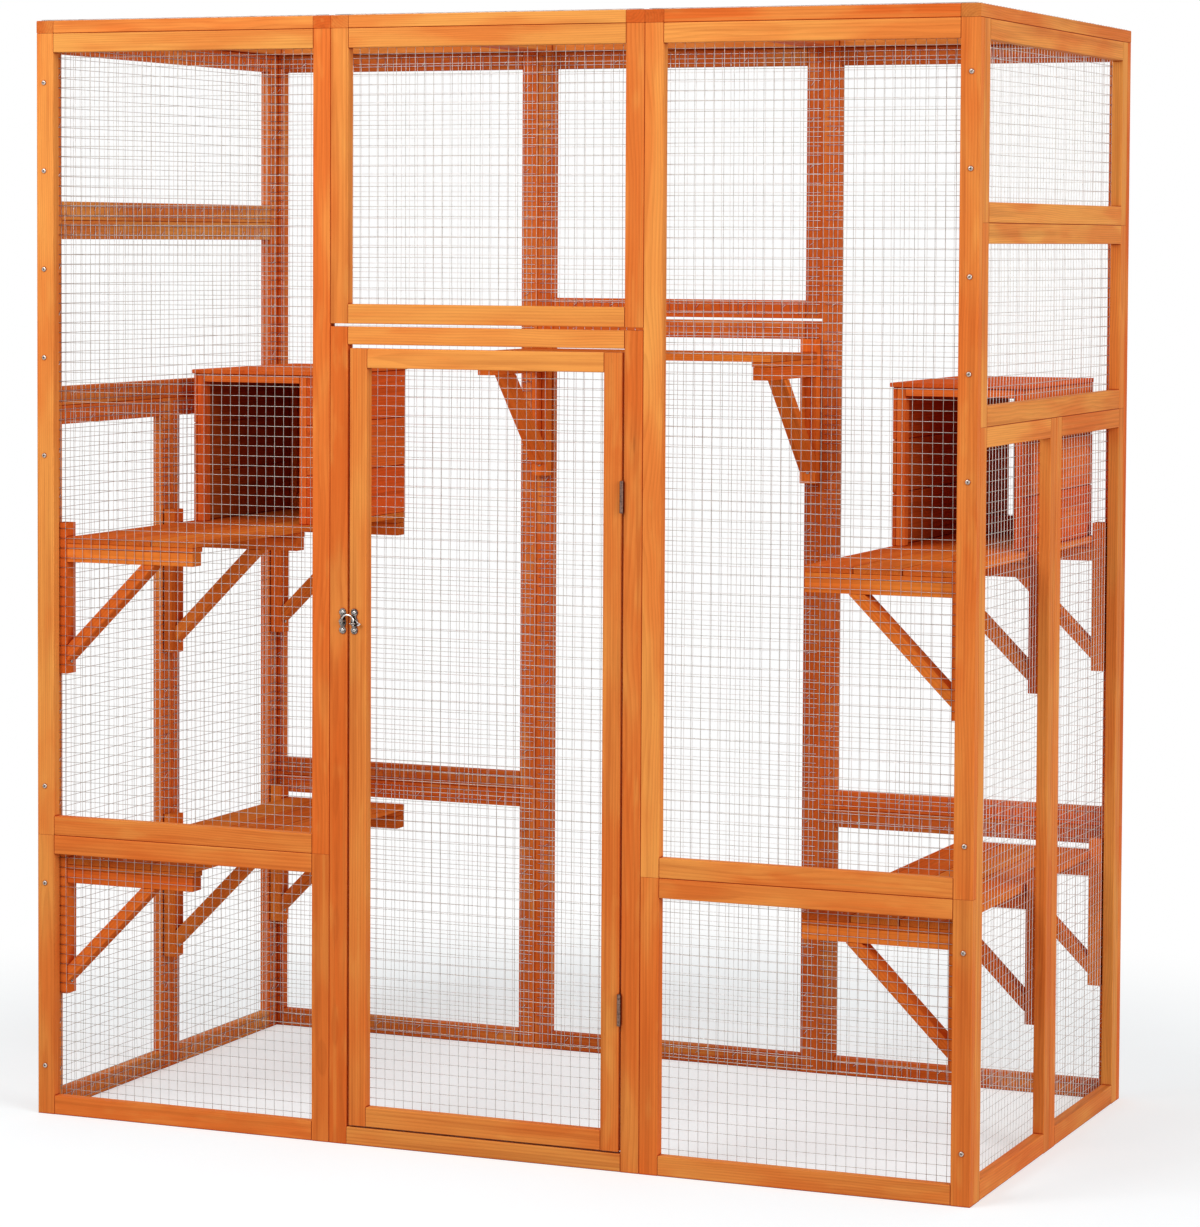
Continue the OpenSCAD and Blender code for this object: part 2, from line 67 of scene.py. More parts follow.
# The camera stands where the photograph was taken from, solved from the corners of the frame
CAMERA_PLACE = Vector((2.881585, -6.898347, 1.623402))
CAMERA_TURN = Vector((0.04683621, 0.40195, 0.01431048))
FOCAL_PX = 4025.0
AXIS_PX = (562.2, 433.7)
PHOTO_PX = (1200, 1227)
SENSOR = 36.0
CLIP = (0.05, 200)

# How far the long edges of each kind of board are rounded, and sawn ends at most
FRAME_EASE = 1.8 * MM
HOUSE_EASE = 1.7 * MM
DECK_EASE = 1.0 * MM
BRACE_EASE = 0.8 * MM
TONGUE_EASE = 0.3 * MM
SAWN_EASE = 0.5 * MM
# The steps of a rounded edge, and its radius at most as a share of the board's thickness
EDGE_STEPS = 3
EDGE_SHARE = 0.3
# A board's eased end, ring by ring: shares of the ease along the board and inward, and the normal's lean
END_RINGS = ((0, 1, -0.92), (0.3, 0.3, -0.7), (1, 0, 0))
END_SHARE = 0.7

# Inside the object, a board is set in by this from its CAD solid, so that a seam shows between two
SEAM = 0.06 * MM
# Solids of a node that share a corner within this are one solid
WELD = 0.01 * MM
# A solid is a box if its corners lie this near to the faces of its own box
BOX_SLACK = 2 * MM
# The source clips the low corner of each arm, which is square on the real one
ARM_CLIP = 8 * MM
# The width of a real brace, as a share of the source's
BRACE_SLIM = 0.83
# A tongue's reach into the boards beside it, its place in their thickness, and the shortest one
TONGUE_REACH = 2 * MM
TONGUE_PLACE = (0.36, 0.64)
TONGUE_LEAST = 100 * MM

# How far a board's pith lies from its middle, and where along the log it was cut
PITH = (0.018, 0.075)
LOG = (3, 60)
# A face is end grain if its normal lies this much along the board
END_GRAIN = 0.6
# A face is indoors if it looks squarely at the middle of a house from farther than this
SQUARE = 0.9
INDOORS = 60 * MM

# Welded mesh: its pitch and wire, and how high over the timber the middle of each layer lies
PITCH = 18 * MM
WIRE = 0.95 * MM
UPRIGHT_RISE = WIRE / 2
LEVEL_RISE = WIRE * 1.45
# The mesh's slack: along the panel, out of it, how near to the timbers it dies out, and its waves
SWAY = 0.4 * MM
BULGE = 1.6 * MM
HELD = 50 * MM
WAVES = (0.9, 0.3)
WAVE_COUNT = 5
# Each wire's own error of place, the height and the radians per metre of its slow bend, and how many
# millimetres short its ends are cut
WIRE_ERROR = 0.09 * MM
WIRE_BEND = 0.1 * MM
BEND_RATE = (8, 20)
WIRE_SHORT = (0, 1.5)
# Staples: how far from the opening and how far apart, the error of that in millimetres, their turn in
# degrees, half the crown's width, its rise over both layers of wire, and its own wire
STAPLE_IN = 12 * MM
STAPLE_STEP = 82 * MM
STAPLE_ERROR = (-8, 8)
STAPLE_TURN = (36, 56)
STAPLE_HALF = 5.2 * MM
STAPLE_RISE = 2 * WIRE + 0.1 * MM
STAPLE_WIRE = 1.0 * MM

# Screws: the radius and height of each head, and the depth of its recess
WALL_SCREW = (4.4 * MM, 2.2 * MM, 1.4 * MM)
CLEAT_SCREW = (3.6 * MM, 1.7 * MM, 1.1 * MM)
PLATE_SCREW = (3.1 * MM, 1.2 * MM, 0.8 * MM)
SCREW_SIDES = 20
# How far the screws of a cleat are from its foot and from its top
CLEAT_FOOT = 22 * MM
CLEAT_TOP = 52 * MM
# The thickness of the latch's plates, on which their screws are seated
LATCH_PLATE = 1.6 * MM

# Nails: the radius and height of a head, and where two of them stand across a board
NAIL = (1.5 * MM, 0.25 * MM)
NAIL_SIDES = 10
NAIL_PLACES = (0.24, 0.76)
# The least crossing that is nailed, and the share of a board beyond which a carrier runs along it
CROSSING = 8 * MM
ALONGSIDE = 0.7
# Edges of screws and nails that turn more than this stay sharp
SHARP = math.radians(35)

# The floor reaches far beyond the view, and lies this much under the object
FLOOR_HALF = 40
FLOOR_DROP = 0.2 * MM
# The floor's shadow gives way to white between these distances from the middle
SHADOW = (1.1, 2.2)
FLOOR_GLOW = 0.46
# Each lamp's name, place, target, size and power
LAMPS = (("key", (-1.2, -2.9, 3.2), (0, 0, 1.2), 2.0, 62),
         ("right", (7.4, -3.4, 4.0), (0.6, 0, 1.0), 4.8, 320))
# The world's light on the object, and what the camera sees of it
SKY = (0.5, 1.0)

# The framed panels that each mesh node covers
WALL_FRAMES = {
    "net_front_left": ["front_left_tall", "front_left_low"],
    "net_front_centre": ["front_centre_top"],
    "net_front_right": ["front_right_tall", "front_right_low"],
    "net_door": ["door_leaf"],
    "net_back": ["back_left_tall", "back_left_low", "back_centre_top", "back_centre_tall",
                 "back_right_tall", "back_right_low"],
    "net_left": ["left_top", "left_middle", "left_front_tall", "left_back_tall"],
    "net_right": ["right_top", "right_middle", "right_front_tall", "right_back_tall"],
    "net_roof": ["roof_left", "roof_centre", "roof_right"],
}
FRAMES = [name for names in WALL_FRAMES.values() for name in names] + ["door_frame"]
DECKS = [n for n in frame["nodes"] if n.startswith("deck_")]
BRACKETS = [n for n in frame["nodes"] if n.startswith("brackets_")]
HOUSES = [n for n in frame["nodes"] if n.startswith("house_")]

# What is nailed, with the node that carries it: a platform's boards lie on its own battens
NAILED = [(deck, deck) for deck in DECKS]
NAILED += [("house_%s_%s" % (side, part), "house_%s_posts" % side)
           for side in ("left", "right") for part in ("sides", "back", "roof")]

# Where each group's random draws start
NET_SEED, FRAME_SEED, DECK_SEED, HOUSE_SEED = 100, 300, 400, 500

# How each board of a panel took the stain, letter by letter: first stile, rails, last stile. The dark
# letters d and k are painted shade on boards of the back wall.
STAIN_AND_SHADE = {
    "front_left_tall": "yopr", "front_left_low": "oooo", "front_centre_top": "oyys",
    "door_frame": "ryys", "door_leaf": "ooyo", "front_right_tall": "yoyo",
    "front_right_low": "sooo", "roof_left": "oyor", "roof_centre": "opor", "roof_right": "rroo",
    "right_top": "pyyy", "right_middle": "yypy", "right_front_tall": "yoys", "right_back_tall": "oooy",
    "left_top": "oybb", "left_middle": "oryb", "left_front_tall": "oobr", "left_back_tall": "roob",
    "back_left_tall": "bdkb", "back_left_low": "bbbb", "back_centre_top": "bbkd",
    "back_centre_tall": "bdbd", "back_right_tall": "bbkb", "back_right_low": "dddb",
}
# For each letter, from pale to dark: how far the stain goes to red, and how light it stays; the low light
# of d and k is painted shade
TONES = {"p": (0.0, 0.7, 0.92), "y": (0.3, 0.76, 0.98), "o": (0.58, 0.78, 1.0), "s": (0.72, 0.78, 1.0),
         "r": (0.88, 0.78, 1.0), "b": (0.92, 0.88, 1.04), "d": (1.0, 0.5, 0.74), "k": (1.0, 0.32, 0.46)}

# How far a board's hue may stray from its letter's
STRAY = 0.1
# The least and most light of the boards of platforms, brackets and houses, and of some boards made lighter
# as painted light
LIGHT = (0.78, 1.0)
PAINTED_LIGHT_RANGES = {"house_left_sides": (1.1, 1.2), "house_left_roof": (1.1, 1.2), "house_right_roof": (1.0, 1.1),
         "brackets_back": (1.05, 1.3)}
# Painted shade on the inner faces of each house: the share of the board's light that they keep
INDOOR_SHADE = {"left": 0.2, "right": 0.8}


def body_of(node):
    for body, nodes in frame["record"]["behaviour"]["bodies"].items():
        if node in nodes:
            return body
    return "enclosure"


# Camera

def make_camera():
    data = bpy.data.cameras.new("photo_camera")
    camera = bpy.data.objects.new("photo_camera", data)
    bpy.context.scene.collection.objects.link(camera)
    long_side = max(PHOTO_PX)
    data.sensor_width = SENSOR
    data.lens = FOCAL_PX / long_side * SENSOR
    data.shift_x = (PHOTO_PX[0] / 2 - AXIS_PX[0]) / long_side
    data.shift_y = (AXIS_PX[1] - PHOTO_PX[1] / 2) / long_side
    data.clip_start, data.clip_end = CLIP
    # Rows of level: to the camera's right, down and ahead, before it is turned
    level = Matrix(((1, 0, 0), (0, 0, -1), (0, 1, 0)))
    turn = Matrix.Rotation(CAMERA_TURN.length, 3, CAMERA_TURN.normalized())
    right, down, ahead = turn @ level
    axes = Matrix((right, -down, -ahead)).transposed()
    camera.matrix_world = Matrix.Translation(CAMERA_PLACE) @ axes.to_4x4()
    bpy.context.scene.camera = camera


# Shader helpers

class Shader:
    """A material's node tree, with short calls for the nodes that the looks use."""

    def __init__(self, name):
        self.material = bpy.data.materials.new(name)
        self.material.use_nodes = True
        self.tree = self.material.node_tree
        self.surface = self.tree.nodes["Principled BSDF"]

    def put(self, socket, value):
        if isinstance(value, bpy.types.NodeSocket):
            self.tree.links.new(value, socket)
        else:
            socket.default_value = value

    def node(self, kind, **settings):
        made = self.tree.nodes.new(kind)
        for key, value in settings.items():
            setattr(made, key, value)
        return made

    def attribute(self, name, output):
        return self.node("ShaderNodeAttribute", attribute_name=name).outputs[output]

    def math(self, operation, a, b=0.0, c=0.0):
        made = self.node("ShaderNodeMath", operation=operation)
        for socket, value in zip(made.inputs, (a, b, c)):
            self.put(socket, value)
        return made.outputs[0]

    def stretch(self, vector, scale, offset=(0, 0, 0)):
        made = self.node("ShaderNodeMapping")
        self.put(made.inputs["Vector"], vector)
        made.inputs["Location"].default_value = offset
        made.inputs["Scale"].default_value = scale
        return made.outputs[0]

    def noise(self, vector, scale, detail=2.0, rough=0.5, offset=(0, 0, 0)):
        """Noise from about 0 to 1, with its scale given per metre along each axis."""
        made = self.node("ShaderNodeTexNoise")
        self.put(made.inputs["Vector"], self.stretch(vector, scale, offset))
        made.inputs["Scale"].default_value = 1.0
        made.inputs["Detail"].default_value = detail
        made.inputs["Roughness"].default_value = rough
        return made.outputs["Fac"]

    def span(self, value, low, high):
        """From 0 where the value is low to 1 where it is high, smoothly."""
        made = self.node("ShaderNodeMapRange", interpolation_type="SMOOTHSTEP")
        made.inputs["From Min"].default_value = low
        made.inputs["From Max"].default_value = high
        self.put(made.inputs["Value"], value)
        return made.outputs[0]

    def mix(self, factor, a, b):
        """A colour between the colours a and b, whose sockets are numbers 6 and 7 of the node."""
        made = self.node("ShaderNodeMix", data_type="RGBA")
        self.put(made.inputs["Factor"], factor)
        self.put(made.inputs[6], a)
        self.put(made.inputs[7], b)
        return made.outputs[2]

    def bump(self, height, distance, strength):
        made = self.node("ShaderNodeBump")
        made.inputs["Strength"].default_value = strength
        made.inputs["Distance"].default_value = distance
        self.put(made.inputs["Height"], height)
        return made.outputs[0]

    def blend(self, factor, a, b):
        """A shader node between the shader nodes a and b."""
        made = self.node("ShaderNodeMixShader")
        for socket, value in zip(made.inputs, (factor, a.outputs[0], b.outputs[0])):
            self.put(socket, value)
        return made


def colour(red, green, blue):
    """A colour written as in an image editor, 0 to 255, as Blender's linear values."""
    def linear(v):
        v /= 255
        return v / 12.92 if v <= 0.04045 else ((v + 0.055) / 1.055) ** 2.4
    return (linear(red), linear(green), linear(blue), 1.0)


KNOT = colour(128, 58, 22)
# The colour of painted shade in the seams of the timber
PAINTED_SEAM_SHADE = colour(172, 36, 6)
# The colour of painted shade in the corners and recesses of fittings
PAINTED_CORNER_SHADE = colour(38, 30, 26)
# The colour of the painted dark reflection on the undersides of fittings
PAINTED_UNDERSIDE_REFLECTION = colour(46, 34, 28)


def timber_material(name, pale, warm, dark, rough, gloss):
    """Stained softwood. The grain attribute is a place in the board, along it and across from its pith."""
    s = Shader(name)
    grain = s.attribute("grain", "Vector")
    tone = s.attribute("tone", "Fac")
    end = s.attribute("end_grain", "Fac")

    # Growth rings round the pith, wandering slowly along the board
    wander = s.noise(grain, (2.4, 7, 7), detail=2.5)
    split = s.node("ShaderNodeSeparateXYZ")
    s.put(split.inputs[0], grain)
    sway = s.math("MULTIPLY_ADD", wander, 0.026, -0.013)
    across = s.math("ADD", split.outputs["Y"], sway)
    upward = s.math("ADD", split.outputs["Z"], s.math("MULTIPLY", sway, 0.7))
    radius = s.math("SQRT", s.math("ADD", s.math("MULTIPLY", across, across),
                                   s.math("MULTIPLY", upward, upward)))
    ring_width = s.math("MULTIPLY_ADD", tone, 0.0022, 0.0034)
    phase = s.math("FRACT", s.math("DIVIDE", radius, ring_width))
    late = s.math("MULTIPLY", s.span(phase, 0.25, 0.92), s.span(phase, 1.0, 0.90))

    # Fibres, pores and the uneven take of the stain
    fibre = s.noise(grain, (7, 420, 420), detail=4, rough=0.6)
    streak = s.noise(grain, (1.6, 70, 70), detail=3, offset=(7, 3, 1))
    blotch = s.noise(grain, (3.2, 13, 13), detail=2.5, offset=(2, 9, 5))
    patch = s.noise(grain, (9, 34, 34), detail=2, offset=(5, 1, 8))
    pores = s.span(s.noise(grain, (60, 1300, 1300), detail=2), 0.64, 0.76)

    # Small pin knots, one now and then along a board
    knots = s.node("ShaderNodeTexVoronoi", feature="F1")
    s.put(knots.inputs["Vector"], s.stretch(grain, (2.4, 18, 18)))
    knots.inputs["Scale"].default_value = 1.0
    pick = s.node("ShaderNodeSeparateColor")
    s.put(pick.inputs[0], knots.outputs["Color"])
    chosen = s.span(pick.outputs[0], 0.80, 0.82)
    knot = s.math("MULTIPLY", s.span(knots.outputs["Distance"], 0.055, 0.02), chosen)
    halo = s.math("MULTIPLY", s.span(knots.outputs["Distance"], 0.20, 0.04), chosen)

    # Painted shade: darker where boards meet and close under wires and fittings, found by ambient occlusion
    near = s.node("ShaderNodeAmbientOcclusion", samples=8)
    near.inputs["Distance"].default_value = 3.6 * MM
    seam_shade = s.span(near.outputs["AO"], 0.98, 0.52)

    # The board's own stain, from yellow orange to red orange, and over it each mask's share of a colour
    base = s.mix(tone, pale, warm)
    for mask, share, stain_and_shade in (
            (s.span(blotch, 0.44, 0.62), 0.5, warm),
            (s.span(blotch, 0.46, 0.30), 0.4, pale),
            (s.span(patch, 0.45, 0.25), 0.3, pale),
            (late, 0.17, dark),
            (s.span(fibre, 0.40, 0.72), 0.15, dark),
            (s.span(streak, 0.52, 0.72), 0.26, dark),
            (s.span(streak, 0.44, 0.26), 0.24, pale),
            (pores, 0.22, dark),
            (halo, 0.26, dark),
            (knot, 0.45, KNOT),
            (end, 0.25, dark),
            (seam_shade, 0.95, PAINTED_SEAM_SHADE)):
        base = s.mix(s.math("MULTIPLY", mask, share), base, stain_and_shade)
    # Each board's light attribute sets its value: a random tone, with painted shade and painted light on
    # some boards and faces
    shade = s.node("ShaderNodeHueSaturation")
    s.put(shade.inputs["Value"], s.math("MULTIPLY_ADD", s.attribute("light", "Fac"), 0.5, 0.54))
    s.put(shade.inputs["Color"], base)
    s.put(s.surface.inputs["Base Color"], shade.outputs[0])

    relief = s.math("ADD", s.math("MULTIPLY", fibre, 0.6), s.math("MULTIPLY", late, 0.2))
    relief = s.math("SUBTRACT", relief, s.math("MULTIPLY", pores, 0.5))
    s.put(s.surface.inputs["Normal"], s.bump(relief, 0.2 * MM, 0.5))
    s.put(s.surface.inputs["Roughness"], s.math("MULTIPLY_ADD", fibre, 0.16, rough - 0.08))
    s.surface.inputs["Specular IOR Level"].default_value = gloss
    return s.material


def metal_material(name, bright, dull, rough, metallic, scale, corner_shade=0.0, underside_reflection=0.0, level=None):
    """Zinc, nickel or steel, clouded and scratched, with painted shade in corners, a painted dark
    reflection on faces turned down, and level wires in a colour of their own as a painted reflection.
    """
    s = Shader(name)
    place = s.node("ShaderNodeTexCoord").outputs["Object"]
    cloud = s.noise(place, (scale, scale, scale), detail=3, rough=0.6)
    scratch = s.noise(place, (scale * 14, scale * 2, scale * 14), detail=3)
    base = s.mix(s.span(cloud, 0.35, 0.68), bright, dull)
    # Painted reflection: level wires take a colour of their own, unlike the uprights
    if level:
        base = s.mix(s.attribute("level", "Fac"), base, level)
    if corner_shade:
        # Painted shade: darker in corners and recesses, found by ambient occlusion
        near = s.node("ShaderNodeAmbientOcclusion", samples=6)
        near.inputs["Distance"].default_value = 7 * MM
        corner = s.span(near.outputs["AO"], 0.95, 0.5)
        base = s.mix(s.math("MULTIPLY", corner, corner_shade), base, PAINTED_CORNER_SHADE)
    if underside_reflection:
        # Painted dark reflection: faces turned down are darker
        facing = s.node("ShaderNodeSeparateXYZ")
        s.put(facing.inputs[0], s.node("ShaderNodeNewGeometry").outputs["Normal"])
        down = s.span(facing.outputs["Z"], 0.1, -0.7)
        base = s.mix(s.math("MULTIPLY", down, underside_reflection), base, PAINTED_UNDERSIDE_REFLECTION)
    s.put(s.surface.inputs["Base Color"], base)
    s.put(s.surface.inputs["Roughness"], s.math("MULTIPLY_ADD", scratch, 0.22, rough - 0.11))
    relief = s.math("ADD", cloud, s.math("MULTIPLY", scratch, 0.4))
    s.put(s.surface.inputs["Normal"], s.bump(relief, 0.1 * MM, 0.4))
    s.surface.inputs["Metallic"].default_value = metallic
    return s.material


TIMBER = timber_material("frame_timber", pale=colour(248, 171, 84), warm=colour(226, 102, 34),
                         dark=colour(150, 58, 14), rough=0.62, gloss=0.08)
PLATFORM = timber_material("platform_timber", pale=colour(242, 136, 54), warm=colour(226, 100, 36),
                           dark=colour(136, 46, 14), rough=0.8, gloss=0.01)
HOUSE = timber_material("house_timber", pale=colour(244, 128, 54), warm=colour(232, 96, 38),
                        dark=colour(130, 38, 14), rough=0.8, gloss=0.01)

# The side and back nets use lighter copies of one galvanised wire: painted light
WIRE_FRONT = metal_material("galvanised_wire", colour(196, 190, 183), colour(160, 154, 147),
                            rough=0.30, metallic=0.85, scale=60, level=colour(184, 178, 171))
WIRE_SIDE_PAINTED_LIGHT = metal_material("galvanised_wire_side_painted_light", colour(240, 234, 228), colour(216, 210, 204),
                           rough=0.30, metallic=0.5, scale=60, level=colour(190, 182, 173))
WIRE_BACK_PAINTED_LIGHT = metal_material("galvanised_wire_back_painted_light", colour(238, 235, 231), colour(216, 212, 207),
                           rough=0.34, metallic=0.7, scale=60, level=colour(240, 237, 233))
NET_METALS = {"net_back": WIRE_BACK_PAINTED_LIGHT, "net_left": WIRE_SIDE_PAINTED_LIGHT, "net_right": WIRE_SIDE_PAINTED_LIGHT}

STAPLE = metal_material("staple_zinc", colour(236, 232, 226), colour(206, 202, 196),
                        rough=0.30, metallic=0.6, scale=180)
HINGE = metal_material("hinge_steel", colour(142, 112, 98), colour(96, 74, 66),
                       rough=0.34, metallic=1.0, scale=260, corner_shade=0.8, underside_reflection=0.6)
# The latch plates' dark clouds are painted reflections of dark surroundings
PLATE = metal_material("nickel_plate", colour(178, 168, 160), colour(36, 28, 26),
                       rough=0.16, metallic=1.0, scale=420, corner_shade=1.0, underside_reflection=0.95)
NICKEL = metal_material("nickel_hook", colour(246, 243, 240), colour(190, 184, 178),
                        rough=0.14, metallic=1.0, scale=380, corner_shade=0.9, underside_reflection=1.0)
STEEL = metal_material("screw_steel", colour(214, 200, 190), colour(150, 134, 124),
                       rough=0.30, metallic=0.9, scale=300, corner_shade=0.95)
FITTINGS = {"hinge_jamb": HINGE, "hinge_door": HINGE, "hinge_pins": HINGE,
            "latch_plate": PLATE, "latch_hook": NICKEL, "latch_keeper": PLATE}


# Mesh building

class Soup:
    """Faces gathered for one piece, with a normal for each corner and the grain attributes."""

    def __init__(self):
        self.points, self.faces, self.normals = [], [], []
        self.grain, self.tone, self.light, self.end = [], [], [], []

    def add(self, points, faces, normals, grain, tone, light, end):
        start = len(self.points)
        self.points.extend(points)
        self.faces.extend([tuple(start + i for i in face) for face in faces])
        self.normals.extend(n for corner in normals for n in corner)
        self.grain.extend(grain)
        self.tone.extend([tone] * len(points))
        self.light.extend(light)
        self.end.extend(end)

    def make(self, name, material):
        mesh = bpy.data.meshes.new(name)
        mesh.from_pydata([tuple(p) for p in self.points], [], self.faces)
        mesh.polygons.foreach_set("use_smooth", [True] * len(self.faces))
        mesh.materials.append(material)
        for key, kind, domain, values in (
                ("grain", "FLOAT_VECTOR", "POINT", self.grain), ("tone", "FLOAT", "POINT", self.tone),
                ("light", "FLOAT", "FACE", self.light), ("end_grain", "FLOAT", "FACE", self.end)):
            layer = mesh.attributes.new(key, kind, domain)
            field = "vector" if kind == "FLOAT_VECTOR" else "value"
            layer.data.foreach_set(field, np.array(values, np.float32).ravel())
        mesh.normals_split_custom_set([tuple(n) for n in self.normals])
        obj = bpy.data.objects.new(name, mesh)
        bpy.context.scene.collection.objects.link(obj)
        return obj


def solids(node):
    """The separate solids of a CAD node, each as an array of its corner points."""
    bm = bmesh.new()
    bm.from_mesh(frame["nodes"][node].data)
    bmesh.ops.remove_doubles(bm, verts=bm.verts, dist=WELD)
    found, seen = [], set()
    for vert in bm.verts:
        if vert.index in seen:
            continue
        seen.add(vert.index)
        group, queue = [], [vert]
        while queue:
            here = queue.pop()
            group.append(tuple(here.co))
            for edge in here.link_edges:
                other = edge.other_vert(here)
                if other.index not in seen:
                    seen.add(other.index)
                    queue.append(other)
        found.append(np.array(group))
    bm.free()
    found.sort(key=lambda g: tuple(np.round(g.min(0), 4)))
    return found


def rounded(outline, r):
    """Points and outward normals round a convex outline, its corners filleted with radius r."""
    points, normals = [], []
    count = len(outline)
    for i in range(count):
        before, here, after = outline[i - 1], outline[i], outline[(i + 1) % count]
        a = (here - before) / np.linalg.norm(here - before)
        b = (after - here) / np.linalg.norm(after - here)
        na, nb = np.array((a[1], -a[0])), np.array((b[1], -b[0]))
        turn = math.atan2(na[0] * nb[1] - na[1] * nb[0], float(na @ nb))
        centre = here - a * r * math.tan(turn / 2) - na * r
        for k in range(EDGE_STEPS + 1):
            angle = turn * k / EDGE_STEPS
            n = np.array((na[0] * math.cos(angle) - na[1] * math.sin(angle),
                          na[0] * math.sin(angle) + na[1] * math.cos(angle)))
            points.append(centre + n * r)
            normals.append(n)
    return np.array(points), np.array(normals)


def prism(outline, r, length, end_ease):
    """Faces of a bar along its third axis, with filleted long corners and eased ends."""
    section, section_normals = rounded(outline, r)
    count = len(section)
    rings = [(end_ease * along, end_ease * inward, lean) for along, inward, lean in END_RINGS]
    rings += [(length - z, inset, -lean) for z, inset, lean in rings[::-1]]
    points, ring_normals = [], []
    for z, inset, lean in rings:
        for p, n in zip(section, section_normals):
            points.append((p[0] - n[0] * inset, p[1] - n[1] * inset, z))
            flat = math.sqrt(1 - lean * lean)
            ring_normals.append((n[0] * flat, n[1] * flat, lean))
    faces, normals = [], []
    for k in range(len(rings) - 1):
        for i in range(count):
            j = (i + 1) % count
            face = (k * count + i, k * count + j, (k + 1) * count + j, (k + 1) * count + i)
            faces.append(face)
            normals.append([ring_normals[v] for v in face])
    last = (len(rings) - 1) * count
    faces.append(tuple(range(count))[::-1])
    normals.append([(0, 0, -1)] * count)
    faces.append(tuple(range(last, last + count)))
    normals.append([(0, 0, 1)] * count)
    return np.array(points), faces, normals


def turned(normals, axes):
    return [[tuple(np.asarray(n) @ axes) for n in corner] for corner in normals]


def add_bar(soup, rng, tone, origin, axes, outline, r, length, end_ease, grain_axis, room=None):
    """One board or brace. The rows of axes are the bar's two section directions and its own axis.

    The room is the middle of the house that a board belongs to, and the share of light its faces keep in
    there: painted shade.
    """
    points, faces, normals = prism(outline, r, length, end_ease)
    world = origin + points @ axes
    normals = turned(normals, axes)
    along = np.asarray(grain_axis) / np.linalg.norm(grain_axis)
    helper = np.eye(3)[int(np.argmin(np.abs(along)))]
    side = np.cross(along, helper)
    side /= np.linalg.norm(side)
    up = np.cross(along, side)
    middle = world.mean(0)
    angle = rng.uniform(0, 2 * math.pi)
    pith = rng.uniform(*PITH)
    local = (world - middle) @ np.array((along, side, up)).T
    local += np.array((rng.uniform(*LOG), pith * math.cos(angle), pith * math.sin(angle)))
    hue, low, high = tone
    light, end, shade = rng.uniform(low, high), [], []
    for face in faces:
        a, b, c = (world[face[i]] for i in (0, 1, 2))
        n = np.cross(b - a, c - b)
        n /= np.linalg.norm(n)
        end.append(1.0 if abs(n @ along) > END_GRAIN else 0.0)
        # Faces inside a house keep only a share of the board's light: painted shade
        indoors = room is not None and abs(n).max() > SQUARE and n @ (room[0] - a) > INDOORS
        shade.append(light * room[1] if indoors else light)
    soup.add(world, faces, normals, local, min(max(hue, 0), 1), shade, end)


def add_board(soup, rng, tone, cloud, ease, room=None):
    """A board over the box of a CAD solid, with its grain along the longest side."""
    lo, hi = cloud.min(0), cloud.max(0)
    lo = np.where(lo > np.array(cad_box[0]) + SEAM, lo + SEAM, lo)
    hi = np.where(hi < np.array(cad_box[1]) - SEAM, hi - SEAM, hi)
    size = hi - lo
    k = int(np.argmax(size))
    i, j = (k + 1) % 3, (k + 2) % 3
    axes = np.eye(3)[[i, j, k]]
    w, t = size[i], size[j]
    outline = np.array(((0, 0), (w, 0), (w, t), (0, t)))
    r = min(ease, w * EDGE_SHARE, t * EDGE_SHARE)
    end_ease = min(SAWN_EASE, r * END_SHARE)
    add_bar(soup, rng, tone, lo, axes, outline, r, size[k], end_ease, axes[2], room)


def is_box(cloud, slack=BOX_SLACK):
    lo, hi = cloud.min(0), cloud.max(0)
    return bool((np.minimum(cloud - lo, hi - cloud) < slack).all())


def slimmed(outline, across, share):
    """The part of a convex outline within a share of its width, on either side of its middle line."""
    height = outline @ across
    middle = (height.min() + height.max()) / 2
    reach = (height.max() - height.min()) / 2 * share
    for side in (1, -1):
        over = side * (outline @ across - middle) - reach
        kept = []
        for i, here in enumerate(outline):
            j = (i + 1) % len(outline)
            if over[i] <= 0:
                kept.append(here)
            if over[i] * over[j] < 0:
                kept.append(here + (outline[j] - here) * over[i] / (over[i] - over[j]))
        outline = np.array(kept)
    return outline


def add_cut_bar(soup, rng, tone, cloud):
    """A mitred brace: a convex outline through the bracket's width."""
    lo, hi = cloud.min(0), cloud.max(0)
    spread = np.minimum(cloud - lo, hi - cloud).max(0)
    k = int(np.argmin(spread[:2]))
    i, j = (k + 1) % 3, (k + 2) % 3
    axes = np.eye(3)[[i, j, k]]
    flat = cloud[cloud[:, k] < (lo[k] + hi[k]) / 2][:, [i, j]]
    middle = flat.mean(0)
    order = np.argsort(np.arctan2(flat[:, 1] - middle[1], flat[:, 0] - middle[0]))
    outline = flat[order]
    edges = np.roll(outline, -1, 0) - outline
    longest = edges[int(np.argmax(np.linalg.norm(edges, axis=1)))]
    across = np.array((-longest[1], longest[0])) / np.linalg.norm(longest)
    outline = slimmed(outline, across, BRACE_SLIM)
    grain_axis = longest[0] * axes[0] + longest[1] * axes[1]
    origin = lo[k] * axes[2]
    add_bar(soup, rng, tone, origin, axes, outline, BRACE_EASE, hi[k] - lo[k], SAWN_EASE, grain_axis)


